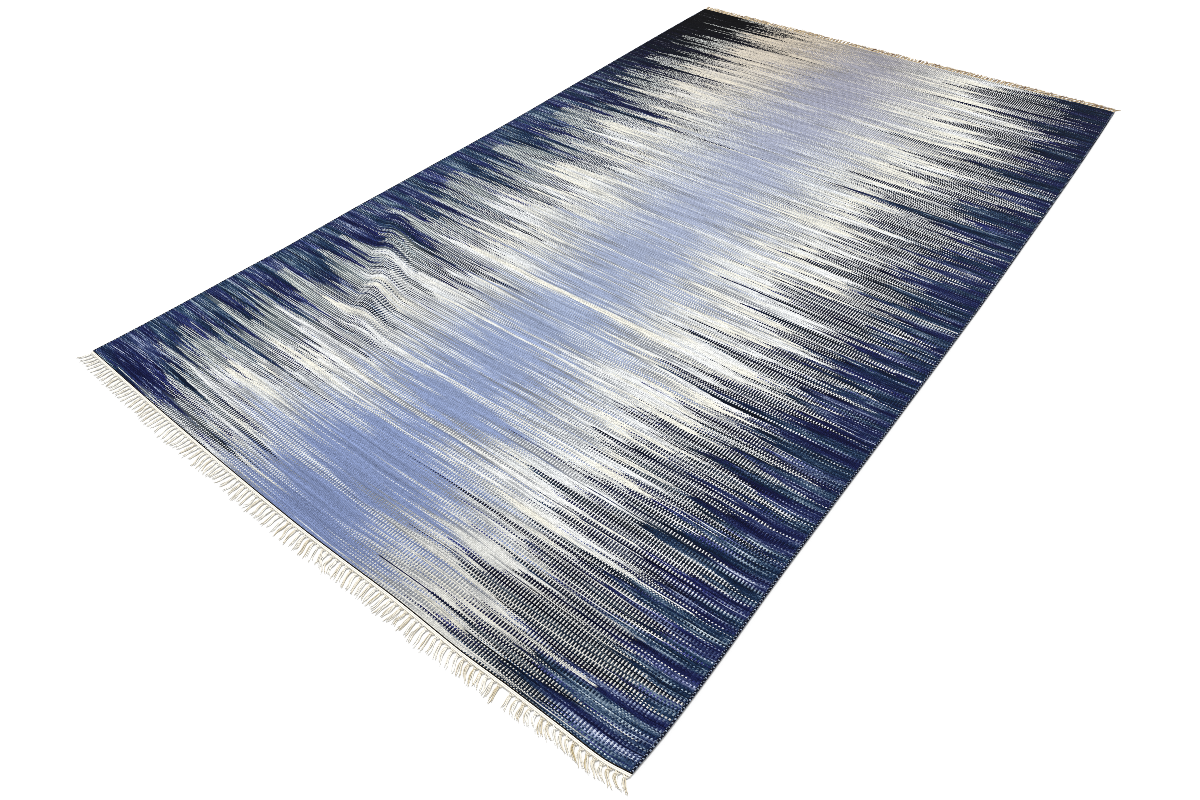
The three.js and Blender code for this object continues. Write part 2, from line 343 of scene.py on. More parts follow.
# What makes the navy paler and deeper. Tone 0 is the deepest dye and 1 the most worn.
PALER = {
    "everywhere": 0.1, "band": 1.35, "line": 0.3, "left line": 0.22, "stitch": 0.16,
    "shuttle": 0.16, "left": 0.03, "near right": 0.13, "rim": 0.1, "far rim": 0.25,
}
# DEEPER's far entry darkens the navy towards the far end, and its far left entry, painted shade,
# darkens it most at the far left corner
DEEPER = {
    "line": 0.35, "rim line": 0.22, "far": 0.16, "far left": 0.58, "inside the rim": 0.1,
}

# Ranges of a place, or of a chance number, over which a change sets in
LEFT_SIDE = (0.75, 0.25)
FAR_END = (0.55, 1.0)
NEAR_END = (0.4, 0.0)
LEFT_RIM = (0.14, 0.03)
INSIDE_THE_RIM = (0.02, 0.14)
PALE_LINES = (0.56, 0.7)
DARK_LINES = (0.58, 0.72)
TEAL_PATCHES = (0.4, 0.6)
RUN_OUT = (0.09, 0.0)
BLEEDS = (0.52, 0.62)
ASHEN_LEFT = (0.6, 0.1)
# The next three ranges place painted shade, which darkens the pale wool towards the far left
# corner
FAR_SHADE_ALONG = (0.6, 1.0)
FAR_SHADE_ACROSS = (0.8, 0.3)
FAR_SHADE_FLANK_RANGE = (0.08, 0.26)
WARM_PATCHES = (0.48, 0.62)
DIM_FLANK = (0.24, 0.14)
DULL_ALONG = (0.16, 0.02)
DULL_ACROSS = (0.5, 0.62)
HAIRS = (0.6, 0.74)
SHARP_ACROSS = (0.1, 0.4)
FAINT_PATCHES = (0.35, 0.6)
FAINT_ALONG = (0.8, 0.5)
# Where the painted shade in the grooves between ribs sets in
VALLEY = (0.2, 0.36)

# How strong some of those changes are
ASHEN_LEAST = 0.35
SLATE_RIGHT = 0.16
WARMER_AHEAD = 0.2
DULLNESS = 0.6
HAIR_SHARE = 0.6
HATCH_DEEPER = 0.6
FAINTNESS = 0.65
FAINT_SCALE = 9.0
FAINT_START = 40.0
FAINT_MM = 45
# How much painted shade darkens the grooves between ribs
VALLEY_SHADE = 0.6
BLUE_STREAKINESS = 0.9
BLUE_SHUTTLE = 0.12
BLUE_DEPTH = 0.94

# Undyed wool, and the few colours that aren't dye
CREAM = "f5f7f7"
WARM_CREAM = "f6f4e8"
INNER_CREAM = "e4e8ea"
# Painted shade towards the far left corner: darker, warmer colours for the cream and the haze
# there
FAR_SHADE_CREAM = "e2d6c2"
FAR_SHADE_INNER_CREAM = "cdc2b3"
FLANK_CREAM = "f3f5f6"
DIM_FLANK_CREAM = "e0e5e2"
# Painted shade for the flanks towards the far left corner
FAR_SHADE_FLANK_CREAM = "d2c8b8"
DULL_CREAM = "cfccc0"
SMOKE = "8a8e96"
# Painted shade for the smoke towards the far left corner
FAR_SHADE_SMOKE = "979087"
FAINT_NAVY = "7b8789"
# Painted shade, put into the grooves between the ribs of the hatched flanks
GROOVE_PAINTED_SHADE = "08090f"

# The selvedge cord at each side, with a pale dash in each few picks, and a thin dark line
# along the cloth at each end
SELVEDGE_RIBS = 1.3
SELVEDGE_DARK = "121627"
SELVEDGE_PALE = "8f9bb0"
DASH_PACE = (0.25, 0.5)
DASH_SHARE = 0.2
END_LINE_WIDTH = 0.8 * MM
END_LINE_COLOUR = "2b2620"

# How unlike the stitches and the picks are in brightness
GRAIN_BASE = 0.77
GRAIN_STITCH = 0.42
GRAIN_PICK = 0.1
GRAIN_MOST = 1.06


def eased(keys, values, at):
    """Values between the rows of a table, eased through them as a smooth curve."""
    keys, values = np.asarray(keys, float), np.asarray(values, float)
    last = len(keys) - 1
    before = np.maximum(np.arange(last + 1) - 1, 0)
    after = np.minimum(np.arange(last + 1) + 1, last)
    slopes = (values[after] - values[before]) / (keys[after] - keys[before])
    place = np.clip(at, keys[0], keys[-1])
    row = np.clip(np.searchsorted(keys, place, side="left") - 1, 0, last - 1)
    span = keys[row + 1] - keys[row]
    part = (place - keys[row]) / span
    square, cube = part**2, part**3
    return (
        values[row] * (2 * cube - 3 * square + 1)
        + slopes[row] * span * (cube - 2 * square + part)
        + values[row + 1] * (3 * square - 2 * cube)
        + slopes[row + 1] * span * (cube - square)
    )


def lift(x, y):
    """Height of the cloth's underside at places measured from the near left corner."""
    rows = np.arange(len(RIDGE["x"]))
    at = np.linspace(0, len(rows) - 1, RIDGE_SAMPLES)
    crest = {name: eased(rows, RIDGE[name], at) * MM for name in RIDGE}
    height = np.zeros(np.broadcast(x, y).shape)
    for px, py, peak, reach in zip(crest["x"], crest["y"], crest["height"], crest["reach"]):
        away = np.hypot(x - px, y - py)
        rise = np.where(away < reach, np.cos(np.pi * away / (2 * reach)) ** 2, 0)
        height = np.maximum(height, max(peak, 0) * rise)
    return height


def drifted(across, along):
    """X and Y of the field's points, about the middle of its nominal rectangle."""
    left = eased(SIDE_DRIFT["along"], SIDE_DRIFT["left"], along) * MM
    right = eased(SIDE_DRIFT["along"], SIDE_DRIFT["right"], along) * MM
    near = eased(END_DRIFT["across"], END_DRIFT["near"], across) * MM
    far = eased(END_DRIFT["across"], END_DRIFT["far"], across) * MM
    x = (across - 0.5) * FIELD_WIDTH + left + (right - left) * across
    y = (along - 0.5) * FIELD_LENGTH
    y = y + near * (1 - along) ** END_DRIFT_FADE + far * along**END_DRIFT_FADE
    return x, y


# The part's source centres the whole rug over the origin, and the frame says by how much
field_low, field_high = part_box("rug_field")
shift_x = field_low.x - float(drifted(0.0, 0.0)[0])
shift_y = field_high.y - float(drifted(0.0, 1.0)[1])


def field_place(across, along):
    """X and Y in the frame of the field's points."""
    x, y = drifted(across, along)
    return x + shift_x, y + shift_y


def add_camera():
    data = bpy.data.cameras.new("camera")
    data.sensor_width = SENSOR_MM
    data.lens = FOCAL_LENGTH_PX / IMAGE_WIDTH_PX * SENSOR_MM
    camera = bpy.data.objects.new("camera", data)
    corner_x = shift_x - FIELD_WIDTH / 2
    corner_y = shift_y - FIELD_LENGTH / 2
    corner = Vector((corner_x, corner_y, CLOTH_THICKNESS))
    turn = Matrix.Rotation(math.radians(CAMERA_TURN_DEG), 4, "Z")
    tip = Matrix.Rotation(math.radians(90 - CAMERA_DOWN_DEG), 4, "X")
    roll = Matrix.Rotation(math.radians(CAMERA_ROLL_DEG), 4, "Z")
    place = Matrix.Translation(corner + CAMERA_FROM_CORNER)
    camera.matrix_world = place @ turn @ tip @ roll
    bpy.context.scene.collection.objects.link(camera)
    bpy.context.scene.camera = camera


add_camera()


def srgb(code):
    """A linear colour from its usual six-digit code."""
    parts = [int(code[i:i + 2], 16) / 255 for i in (0, 2, 4)]
    linear = [c / 12.92 if c <= 0.04045 else ((c + 0.055) / 1.055) ** 2.4 for c in parts]
    return (*linear, 1.0)


def put(tree, value, slot):
    """Links a value or a socket to an input, or sets the input to a number or a colour."""
    if isinstance(value, Value):
        tree.links.new(value.socket, slot)
    elif isinstance(value, bpy.types.NodeSocket):
        tree.links.new(value, slot)
    elif isinstance(value, str):
        slot.default_value = srgb(value)
    else:
        slot.default_value = value


class Value:
    """A number in a material's nodes. Python's operators on it add Math nodes. A node is
    made after those that it reads, because the renderer has room for few numbers at once
    and takes the nodes in the order of their making."""

    def __init__(self, tree, socket):
        self.tree = tree
        self.socket = socket

    def math(self, operation, *others):
        node = self.tree.nodes.new("ShaderNodeMath")
        node.operation = operation
        for slot, value in zip(node.inputs, (self, *others)):
            put(self.tree, value, slot)
        return Value(self.tree, node.outputs[0])

    def __add__(self, other):
        return self.math("ADD", other)

    def __sub__(self, other):
        return self.math("SUBTRACT", other)

    def __mul__(self, other):
        return self.math("MULTIPLY", other)

    def floor(self):
        return self.math("FLOOR")

    def size(self):
        return self.math("ABSOLUTE")

    def lower(self, other):
        return self.math("MINIMUM", other)

    def higher(self, other):
        return self.math("MAXIMUM", other)

    def below(self, other):
        return self.math("LESS_THAN", other)

    def above(self, other):
        return self.math("GREATER_THAN", other)

    def soft_step(self, low, high):
        """0 below low and 1 above high, with an eased slope between. Low may be the
        higher of the two, and the step then goes down."""
        node = self.tree.nodes.new("ShaderNodeMapRange")
        node.interpolation_type = "SMOOTHSTEP"
        node.clamp = False
        put(self.tree, self, node.inputs["Value"])
        put(self.tree, low, node.inputs["From Min"])
        put(self.tree, high, node.inputs["From Max"])
        return Value(self.tree, node.outputs[0])


def chance(tree, at, seed):
    """A chance number from 0 to 1 for each value of at."""
    place = at + seed
    node = tree.nodes.new("ShaderNodeTexWhiteNoise")
    node.noise_dimensions = "1D"
    put(tree, place, node.inputs["W"])
    return Value(tree, node.outputs["Value"])


def scattered(at, seed):
    """A chance number from 0 to 1 for each whole number. It takes less of the renderer's
    room for one material than a noise node."""
    wave = at.math("MULTIPLY_ADD", SINE_STEP, seed * SINE_STEP).math("SINE")
    return (wave * SINE_SIZE).math("FRACT")


def peaks(tree, at, seed, lane=None):
    """Chance heights at the whole numbers of at, joined by slopes, most near -1 or 1. Each
    lane has heights of its own."""
    low = at.floor()
    if lane is None:
        first = chance(tree, low, seed)
        second = chance(tree, low, seed + 1)
    else:
        first = scattered(low + lane, seed)
        second = scattered(low + lane, seed + 1)
    return (first + (second - first) * (at - low)).soft_step(*PEAK_EASE) * 2.0 - 1.0


def noise(tree, x, y, detail=1.0):
    """Smooth chance from 0 to 1 over a plane."""
    place = tree.nodes.new("ShaderNodeCombineXYZ")
    put(tree, x, place.inputs["X"])
    put(tree, y, place.inputs["Y"])
    node = tree.nodes.new("ShaderNodeTexNoise")
    node.noise_dimensions = "2D"
    node.inputs["Scale"].default_value = 1
    node.inputs["Detail"].default_value = detail
    tree.links.new(place.outputs[0], node.inputs["Vector"])
    return Value(tree, node.outputs[0])


def mixed(tree, share, first, second):
    """A colour between two."""
    node = tree.nodes.new("ShaderNodeMix")
    node.data_type = "RGBA"
    put(tree, share, node.inputs["Factor"])
    put(tree, first, node.inputs["A"])
    put(tree, second, node.inputs["B"])
    return node.outputs["Result"]


def darkened(tree, colour, amount):
    """A colour times a number."""
    node = tree.nodes.new("ShaderNodeVectorMath")
    node.operation = "SCALE"
    tree.links.new(colour, node.inputs[0])
    put(tree, amount, node.inputs["Scale"])
    return node.outputs[0]


def ramp(tree, at, stops):
    """A colour from a list of (place, colour code)."""
    node = tree.nodes.new("ShaderNodeValToRGB")
    elements = node.color_ramp.elements
    while len(elements) < len(stops):
        elements.new(0.5)
    for element, (place, code) in zip(elements, stops):
        element.position = place
        element.color = srgb(code)
    put(tree, at, node.inputs[0])
    return node.outputs[0]


def trend(tree, along, points):
    """A number that follows the given points along the rug, each from -0.5 to 0.5."""
    node = tree.nodes.new("ShaderNodeFloatCurve")
    curve = node.mapping.curves[0]
    for point, place in zip(curve.points, (points[0], points[-1])):
        point.location = (place[0], place[1] + TREND_MIDDLE)
    for at, value in points[1:-1]:
        curve.points.new(at, value + TREND_MIDDLE)
    node.mapping.update()
    put(tree, along, node.inputs["Value"])
    return Value(tree, node.outputs[0]) - TREND_MIDDLE


def new_material(name):
    material = bpy.data.materials.new(name)
    material.use_nodes = True
    tree = material.node_tree
    tree.nodes.clear()
    output = tree.nodes.new("ShaderNodeOutputMaterial")
    shader = tree.nodes.new("ShaderNodeBsdfPrincipled")
    tree.links.new(shader.outputs[0], output.inputs["Surface"])
    return material, tree, shader


def finish_shader(shader, roughness, specular):
    shader.inputs["Roughness"].default_value = roughness
    shader.inputs["Specular IOR Level"].default_value = specular


def bump(tree, shader, height, depth):
    node = tree.nodes.new("ShaderNodeBump")
    node.inputs["Strength"].default_value = 1
    node.inputs["Distance"].default_value = depth
    put(tree, height, node.inputs["Height"])
    tree.links.new(node.outputs[0], shader.inputs["Normal"])


class Weave:
    """Which rib, shuttle and pick each point of the cloth is on."""

    def __init__(self, tree):
        self.tree = tree
        self.read_map()
        self.set_shuttle()
        picks = self.at_mm * (1 / PICK_PITCH_MM) + self.shuttle * 0.5
        self.pick = picks.floor()
        self.in_pick = picks - self.pick
        self.pick_mm = (self.pick - self.shuttle * 0.5) * PICK_PITCH_MM
        self.rib_across = (self.rib + 0.5) * (1 / RIB_COUNT)
        self.stitch = chance(tree, self.rib + self.pick * RIB_STRIDE, SEEDS["stitch"])

    def read_map(self):
        """The place on the cloth, the rib there and how far it is from the rib's crown."""
        tree = self.tree
        place = tree.nodes.new("ShaderNodeUVMap")
        place.uv_map = UV_NAME
        split = tree.nodes.new("ShaderNodeSeparateXYZ")
        tree.links.new(place.outputs[0], split.inputs[0])
        stretch = 1 / (1 - 2 * UV_MARGIN)
        self.across = (Value(tree, split.outputs["X"]) - UV_MARGIN) * stretch
        self.along = (Value(tree, split.outputs["Y"]) - UV_MARGIN) * stretch
        wander = noise(tree, self.across * WANDER_SCALE[0], self.along * WANDER_SCALE[1])
        wander = (wander - 0.5) * WANDER_MM
        self.at_mm = self.along * (FIELD_LENGTH / MM) + wander
        ribs = self.across * float(RIB_COUNT)
        self.rib = ribs.floor()
        self.off_crown = (ribs - self.rib - 0.5).size()

    def set_shuttle(self):
        """Whose yarn shows, 0 or 1. The shuttles take every second rib each."""
        tree = self.tree
        runs = self.at_mm * (1 / RUN_MM)
        drift = peaks(tree, self.at_mm * (1 / RUN_DRIFT_MM), SEEDS["run"])
        runs = runs + drift * RUN_DRIFT
        run = runs.floor()
        swap = chance(tree, run, SEEDS["swap"]).above(1 - SWAPPED_SHARE)
        by_rib = (self.rib + swap).math("FLOORED_MODULO", 2.0)
        alone = chance(tree, run, SEEDS["alone"]).above(1 - SECOND_ALONE_SHARE)
        first_pick = (runs - run).below(PICK_PITCH_MM / RUN_MM)
        by_rib = by_rib + (alone - by_rib) * first_pick
        pick = (self.at_mm * (1 / PICK_PITCH_MM)).floor()
        bead = chance(tree, self.rib + pick * RIB_STRIDE, SEEDS["bead"])
        share = self.across.soft_step(*ASTRAY_ACROSS) * ASTRAY_SHARE_LEFT + ASTRAY_SHARE
        astray = bead.below(self.along.soft_step(*ASTRAY_ALONG) * share)
        self.shuttle = (by_rib - astray).size()

    def by_shuttle(self, pair):
        """The first number of the pair for shuttle 0 and the second for shuttle 1."""
        return self.shuttle * (pair[1] - pair[0]) + pair[0]

    def sway(self, layers, seed, own=False):
        """Chance steps along the rug, in several sizes, the same or not for both shuttles."""
        lane = self.shuttle * LANE_STRIDE if own else None
        total = None
        for spacing_mm, reach in layers:
            seed += LAYER_STRIDE
            layer = peaks(self.tree, self.pick_mm * (1 / spacing_mm), seed, lane) * reach
            total = layer if total is None else total + layer
        return total

    def clouds(self, across, length_mm, start=(0, 0), shuttles_apart=0, detail=1.0):
        """Smooth chance from 0 to 1, in about as many patches across the rug as across
        says, and of that length along it."""
        x = self.rib_across * across
        if start[0]:
            x = x + start[0]
        y = self.pick_mm * (1 / length_mm)
        if start[1]:
            y = y + start[1]
        if shuttles_apart:
            y = y + self.shuttle * shuttles_apart
        return noise(self.tree, x, y, detail)

    def hairlines(self, seed):
        """Smooth chance along each pick, from 0 to 1, that differs from pick to pick."""
        row = self.pick * LINE_SCALE[1] + self.shuttle * LINE_SHUTTLES_APART
        return noise(self.tree, self.rib_across * LINE_SCALE[0] + seed, row, 0.0)

    def each_pick(self, seed):
        """A chance number from -1 to 1 for each pick."""
        return chance(self.tree, self.pick + self.shuttle * SHUTTLE_STRIDE, seed) * 2.0 - 1.0

    def streaks(self, table):
        """The listed streaks, each a long pointed lens."""
        total = None
        for along, half_mm, reach in table:
            away = (self.at_mm - along * FIELD_LENGTH / MM).size() * (-reach / half_mm)
            lens = (away + reach).higher(0.0)
            total = lens if total is None else total + lens
        return total


def middle_zones(weave, slip, stray, blue_trend):
    """How blue each stitch of the middle is, and how far it is in the haze around it."""
    middle = weave.sway(MIDDLE_SWAYS, SEEDS["middle"], own=True) + blue_trend + stray
    middle = middle - weave.streaks(CREAM_STREAKS)
    at = weave.rib_across - slip
    blue_left = at - weave.by_shuttle(BLUE_STARTS)
    blue_right = weave.by_shuttle(BLUE_ENDS) - at
    blue = (blue_left.lower(blue_right) + middle).soft_step(*BLUE_EDGE)
    haze = weave.sway(HAZE_SWAYS, SEEDS["haze"], own=True)
    grey_left = at - GREY_STARTS
    grey_right = at * -1.0 + GREY_ENDS
    inner = (grey_left.lower(grey_right) + middle + haze).soft_step(*HAZE_EDGE)
    return blue, inner


def dye_zones(weave):
    """What dye each stitch has: how navy and blue it is, and how far it is in the haze
    around the blue, in the navy, in the flanks and in their hatched part."""
    left_trend, right_trend, blue_trend = [
        trend(weave.tree, weave.along, [(row[0], row[column]) for row in ZONE_TREND])
        for column in (1, 2, 3)
    ]
    side = weave.by_shuttle(SLIP_SHARES)
    apart = weave.sway(SLIPS, SEEDS["slip"])
    slip = apart * side
    spread = weave.sway(SPREADS, SEEDS["spread"]) + weave.streaks(NAVY_STREAKS)
    stray = weave.each_pick(SEEDS["stray"]).math("POWER", STRAY_POWER) * STRAY_REACH
    left_spread = spread + weave.sway(LEFT_SPREADS, SEEDS["left spread"])
    left_slip = slip * LEFT_SLIP
    left_own = weave.sway(OWN_SWAYS, SEEDS["left"], own=True) * LEFT_OWN + stray
    right_own = weave.sway(OWN_SWAYS, SEEDS["right"], own=True) + stray
    far = weave.along.soft_step(*FAR_HALF)
    closing = weave.by_shuttle(FAR_CLOSING) * far

    # The navy of the shuttle that shows here
    left_end = weave.by_shuttle(NAVY_ENDS) + left_trend + left_slip + left_spread + left_own
    left_end = (left_end + closing).higher(NARROWEST_LEFT)
    right_start = weave.by_shuttle(NAVY_STARTS) - right_trend + slip - spread - right_own
    inside = (left_end - weave.rib_across).higher(weave.rib_across - right_start)
    navy = inside.soft_step(*NAVY_EDGE)

    # A flank reaches in as far as shuttle 0's navy, and is hatched up to shuttle 1's
    first_left = left_spread + apart * LEFT_SLIP + left_trend + NAVY_ENDS[0] - weave.rib_across
    first_left = first_left - far * -FAR_CLOSING[0]
    first_right = spread - apart + right_trend - NAVY_STARTS[0] + weave.rib_across
    flank = first_left.higher(first_right).soft_step(*FLANK_EDGE)
    second_slip = -SLIP_SHARES[1]
    second_left = left_spread - apart * (LEFT_SLIP * second_slip) + left_trend + NAVY_ENDS[1]
    second_left = second_left - weave.rib_across + far * FAR_CLOSING[1]
    second_right = spread + apart * second_slip + right_trend - NAVY_STARTS[1] + weave.rib_across
    solid = second_left.higher(second_right).soft_step(*SOLID_EDGE)
    hatched = flank * (solid * -1.0 + 1.0)

    blue, inner = middle_zones(weave, slip, stray, blue_trend)
    return SimpleNamespace(
        navy=navy, blue=blue, inner=inner, flank=flank, hatched=hatched, inside=inside
    )


def navy_tone(weave, band, left, far):
    """How worn the navy is, from 0 to 1, in bands and thin lines along the picks, with painted
    shade darkening it towards the far left.
    """
    pale_line = weave.hairlines(SEEDS["pale line"]).soft_step(*PALE_LINES)
    dark_line = weave.hairlines(SEEDS["dark line"]).soft_step(*DARK_LINES)
    near_right = weave.along.soft_step(*NEAR_END) * (left * -1.0 + 1.0)
    rim = weave.rib_across.soft_step(*LEFT_RIM)
    pale_share = left * PALER["left line"] + PALER["line"] - rim * DEEPER["rim line"]
    tone = (band - 0.5) * PALER["band"] + pale_line * pale_share - dark_line * DEEPER["line"]
    tone = tone + weave.stitch * PALER["stitch"] + weave.shuttle * PALER["shuttle"]
    # Painted shade: the navy darker in the far left corner, and darker towards the far end as a
    # whole
    tone = tone + left * PALER["left"] - far * left * DEEPER["far left"]
    tone = tone + near_right * PALER["near right"] - far * DEEPER["far"]
    tone = tone + rim * (far * PALER["far rim"] + PALER["rim"]) + PALER["everywhere"]
    return tone - weave.rib_across.soft_step(*INSIDE_THE_RIM) * left * DEEPER["inside the rim"]


def navy_colour(weave, inside):
    """Deep navy in streaks of violet and teal, royal blue where the dye runs out, and more
    charcoal on the right and towards the far left corner."""
    tree = weave.tree
    band = weave.clouds(8.0, length_mm=13, shuttles_apart=77.0)
    hue = weave.clouds(4.0, length_mm=31, start=(9.0, 0), detail=0.0)
    left = weave.rib_across.soft_step(*LEFT_SIDE)
    far = weave.along.soft_step(*FAR_END)
    tone = navy_tone(weave, band, left, far)
    violet = ramp(tree, tone, VIOLET)
    teal = ramp(tree, tone, TEAL)
    charcoal = ramp(tree, tone, CHARCOAL)
    royal = ramp(tree, tone, ROYAL)
    navy = mixed(tree, hue.soft_step(*TEAL_PATCHES), violet, teal)
    bleed = weave.clouds(3.0, length_mm=22, start=(0, 50.0), detail=0.0)
    navy = mixed(tree, inside.soft_step(*RUN_OUT) * bleed.soft_step(*BLEEDS), navy, royal)
    ashen = weave.rib_across.soft_step(*ASHEN_LEFT).higher(ASHEN_LEAST)
    slate = left * -SLATE_RIGHT + SLATE_RIGHT
    return mixed(tree, (far * ashen).higher(slate), navy, charcoal)


def blue_colour(weave):
    """Lavender blue, paler towards the far end."""
    tree = weave.tree
    blue = ramp(tree, weave.along, BLUE_ALONG)
    streak = weave.clouds(5.0, length_mm=5, shuttles_apart=31.0)
    amount = (streak - 0.5) * BLUE_STREAKINESS + weave.shuttle * BLUE_SHUTTLE + BLUE_DEPTH
    return darkened(tree, blue, amount)


def cream_colour(weave, zones, far_shade):
    """Undyed wool: warmer in patches, greyer in the haze and in the near right corner,
    and darker and warmer at the far left, which is painted shade."""
    tree = weave.tree
    warm = weave.clouds(3.0, length_mm=26, start=(3.0, 30.0))
    warm = warm + weave.along * WARMER_AHEAD
    cream = mixed(tree, warm.soft_step(*WARM_PATCHES), CREAM, WARM_CREAM)
    cream = mixed(tree, zones.inner, cream, INNER_CREAM)
    # Painted shade: the cream darker and warmer towards the far left corner
    cream = mixed(tree, far_shade, cream, mixed(tree, zones.inner, FAR_SHADE_CREAM, FAR_SHADE_INNER_CREAM))
    flank_far_shade = far_shade * weave.rib_across.soft_step(*FAR_SHADE_FLANK_RANGE)
    cool = mixed(tree, weave.rib_across.soft_step(*DIM_FLANK), FLANK_CREAM, DIM_FLANK_CREAM)
    cream = mixed(tree, zones.flank, cream, mixed(tree, flank_far_shade, cool, FAR_SHADE_FLANK_CREAM))
    dull = weave.along.soft_step(*DULL_ALONG) * weave.across.soft_step(*DULL_ACROSS)
    return mixed(tree, dull * DULLNESS, cream, DULL_CREAM)


def pale_wool(weave, zones):
    """Undyed wool, with grey haze and hairlines, and the lavender blue of the middle."""
    tree = weave.tree
    # Painted shade: how far a place is into the darker far left corner
    far_shade = weave.along.soft_step(*FAR_SHADE_ALONG) * weave.across.soft_step(*FAR_SHADE_ACROSS)
    cream = cream_colour(weave, zones, far_shade)
    smoke = mixed(tree, far_shade, SMOKE, FAR_SHADE_SMOKE)
    pale = mixed(tree, zones.inner * (weave.shuttle * -1.0 + 1.0), cream, smoke)
    hair = weave.hairlines(SEEDS["hair"]).soft_step(*HAIRS)
    pale = mixed(tree, hair * HAIR_SHARE, pale, smoke)
    return mixed(tree, zones.blue, pale, blue_colour(weave))


def deep_wool(weave, zones, sharp):
    """The navy: darker where its hatching is sharp, and faint in patches on the left."""
    tree = weave.tree
    navy = navy_colour(weave, zones.inside)
    deep = darkened(tree, navy, sharp * -HATCH_DEEPER + 1.0)
    patch_across = weave.across * FAINT_SCALE + FAINT_START
    patch = noise(tree, patch_across, weave.at_mm * (1 / FAINT_MM))
    patch = patch.soft_step(*FAINT_PATCHES)
    faint = (zones.hatched - sharp) * patch * weave.along.soft_step(*FAINT_ALONG)
    return mixed(tree, faint * FAINTNESS, deep, FAINT_NAVY)


def edged(weave, dyed):
    """The cloth's colour with the selvedge cords and a thin dark line at each end."""
    tree = weave.tree
    edge = (weave.across - 0.5).size().above(0.5 - SELVEDGE_RIBS / RIB_COUNT)
    dash = (weave.pick * DASH_PACE[0] + weave.rib * DASH_PACE[1]).math("FRACT")
    cord = mixed(tree, dash.below(DASH_SHARE), SELVEDGE_DARK, SELVEDGE_PALE)
    dyed = mixed(tree, edge, dyed, cord)
    last = (weave.along - 0.5).size().above(0.5 - END_LINE_WIDTH / FIELD_LENGTH)
    return mixed(tree, last, dyed, END_LINE_COLOUR)


def wool_material():
    """The dyed wool of the woven field."""
    material, tree, shader = new_material("dyed_wool")
    weave = Weave(tree)
    zones = dye_zones(weave)
    pale = pale_wool(weave, zones)
    sharp = zones.hatched * weave.rib_across.soft_step(*SHARP_ACROSS)
    dyed = mixed(tree, zones.navy, pale, deep_wool(weave, zones, sharp))
    # Painted shade: the grooves between the ribs of the sharp hatching are darkened towards near
    # black
    shaded = weave.off_crown.soft_step(*VALLEY) * sharp
    dyed = mixed(tree, shaded * VALLEY_SHADE, dyed, GROOVE_PAINTED_SHADE)
    dyed = edged(weave, dyed)
    grain = weave.stitch * GRAIN_STITCH + weave.each_pick(SEEDS["grain"]) * GRAIN_PICK + GRAIN_BASE
    dyed = darkened(tree, dyed, grain.lower(GRAIN_MOST))
    tree.links.new(dyed, shader.inputs["Base Color"])
    finish_shader(shader, roughness=0.9, specular=0.08)
    height = (weave.in_pick * 2.0 - 1.0).math("POWER", 2.0) * -1.0
    bump(tree, shader, height, PICK_BUMP)
    return material


def cotton_material(name, palest, darkest):
    """Twisted cotton. Each yarn carries a tone from 0, the palest, to 1."""
    material, tree, shader = new_material(name)
    tone = tree.nodes.new("ShaderNodeAttribute")
    tone.attribute_name = "tone"
    place = tree.nodes.new("ShaderNodeTexCoord")
    fibre = tree.nodes.new("ShaderNodeTexNoise")
    fibre.inputs["Scale"].default_value = FIBRE_SCALE
    tree.links.new(place.outputs["Object"], fibre.inputs["Vector"])
    colour = mixed(tree, Value(tree, tone.outputs["Fac"]), palest, darkest)
    grain = Value(tree, fibre.outputs[0])
    dyed = darkened(tree, colour, grain * FIBRE_CONTRAST + FIBRE_BASE)
    tree.links.new(dyed, shader.inputs["Base Color"])
    finish_shader(shader, roughness=0.85, specular=0.25)
    bump(tree, shader, grain, FIBRE_BUMP)
    return material


def mesh_object(name, corners, faces, material):
    mesh = bpy.data.meshes.new(name)
    mesh.from_pydata(corners, [], faces)
    mesh.shade_smooth()
    mesh.materials.append(material)
    piece = bpy.data.objects.new(name, mesh)
    bpy.context.scene.collection.objects.link(piece)
    return piece


def field_grid():
    """Places across and along of the field's corners, one row of the grid for each row."""
    ribs = [(rib + at) / RIB_COUNT for rib in range(RIB_COUNT) for at, _ in RIB_PROFILE]
    across = np.append(np.array(ribs), 1.0)
    crest = eased(RIDGE["x"], RIDGE["y"], across * FIELD_WIDTH / MM) * MM
    low = crest - RIDGE_BAND
    high = crest + RIDGE_BAND
    rows = [low * part for part in NEAR_ROWS]
    rows += [low + (high - low) * part for part in np.linspace(0, 1, RIDGE_ROWS)]
    far_parts = np.linspace(0, 1, FAR_ROWS + 1)[1:]
    rows += [high + (FIELD_LENGTH - high) * part for part in far_parts]
    along = np.array(rows) / FIELD_LENGTH
    return np.broadcast_to(across, along.shape), along


def quads(a, b, c, d):
    """Four-sided faces from four grids of corner numbers."""
    return np.stack([a.ravel(), b.ravel(), c.ravel(), d.ravel()], axis=-1)


